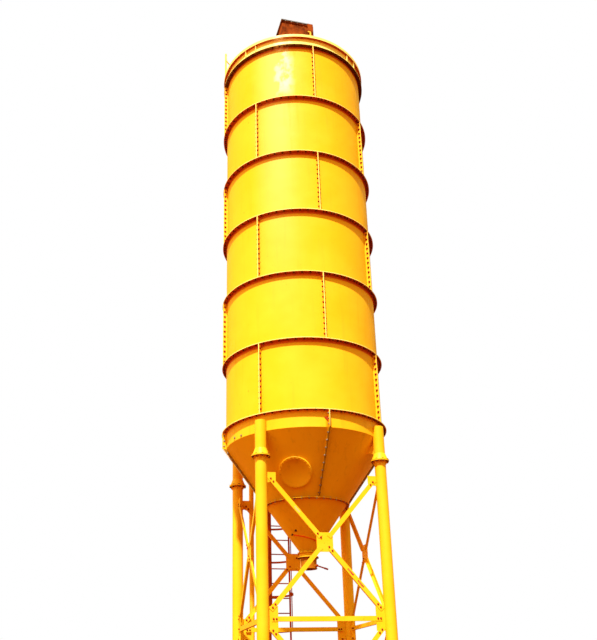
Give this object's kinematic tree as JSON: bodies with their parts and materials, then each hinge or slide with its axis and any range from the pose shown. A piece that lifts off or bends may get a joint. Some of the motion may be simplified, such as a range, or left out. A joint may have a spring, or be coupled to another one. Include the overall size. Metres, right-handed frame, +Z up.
{
  "type": "cement silo",
  "caption": "Upright bolted cement silo of flanged curved panels with a cone hopper, butterfly valve outlet, roof filter, caged ladder and four braced tubular legs.",
  "frame": {"origin": "on the ground, under the middle of the whole outline's plan box; the silo's own upright axis is at x 0, y -0.361", "axes": "+Z up; -Y is the side that the picture shows; +X to its right"},
  "size_m": [3.2734, 3.9861, 16.33],
  "materials": {
    "yellow_paint": "satin",
    "hopper_paint": "satin",
    "brace_paint": "satin",
    "rusty_paint": "matte",
    "pipe_paint": "satin",
    "dark_steel": "matte",
    "red_rubber": "matte"
  },
  "bodies": {
    "silo": {"course_1_panel_1": "yellow_paint", "course_1_panel_2": "yellow_paint", "course_1_panel_3": "yellow_paint", "course_1_panel_4": "yellow_paint", "course_2_panel_1": "yellow_paint", "course_2_panel_2": "yellow_paint", "course_2_panel_3": "yellow_paint", "course_2_panel_4": "yellow_paint", "course_3_panel_1": "yellow_paint", "course_3_panel_2": "yellow_paint", "course_3_panel_3": "yellow_paint", "course_3_panel_4": "yellow_paint", "course_4_panel_1": "yellow_paint", "course_4_panel_2": "yellow_paint", "course_4_panel_3": "yellow_paint", "course_4_panel_4": "yellow_paint", "course_5_panel_1": "yellow_paint", "course_5_panel_2": "yellow_paint", "course_5_panel_3": "yellow_paint", "course_5_panel_4": "yellow_paint", "course_6_panel_1": "yellow_paint", "course_6_panel_2": "yellow_paint", "course_6_panel_3": "yellow_paint", "course_6_panel_4": "yellow_paint", "hopper_panel_1": "hopper_paint", "hopper_panel_2": "hopper_paint", "hopper_panel_3": "hopper_paint", "hopper_panel_4": "hopper_paint", "lower_cone": "hopper_paint", "inspection_hatch": "hopper_paint", "outlet_valve": "hopper_paint", "roof_ring": "yellow_paint", "roof": "yellow_paint", "roof_post": "yellow_paint", "filter_housing": "rusty_paint", "filter_lid": "dark_steel", "leg_stub_1": "yellow_paint", "leg_stub_2": "yellow_paint", "leg_stub_3": "yellow_paint", "leg_stub_4": "yellow_paint", "leg_1": "yellow_paint", "leg_2": "yellow_paint", "leg_3": "yellow_paint", "leg_4": "yellow_paint", "bracing_1": "brace_paint", "bracing_2": "brace_paint", "bracing_3": "brace_paint", "bracing_4": "brace_paint", "ladder": "rusty_paint", "ladder_cage": "rusty_paint", "fill_pipe": "pipe_paint", "pipe_bracket": "brace_paint", "air_line": "red_rubber"},
    "lever": {"valve_lever": "dark_steel"}
  },
  "joints": [
    {"name": "valve_hinge", "type": "hinge", "parent": "silo", "child": "lever", "pos_m": [0, -0.361, 3.665], "axis": [-0.8192, 0.5736, 0], "range_deg": [0, 90]}
  ]
}
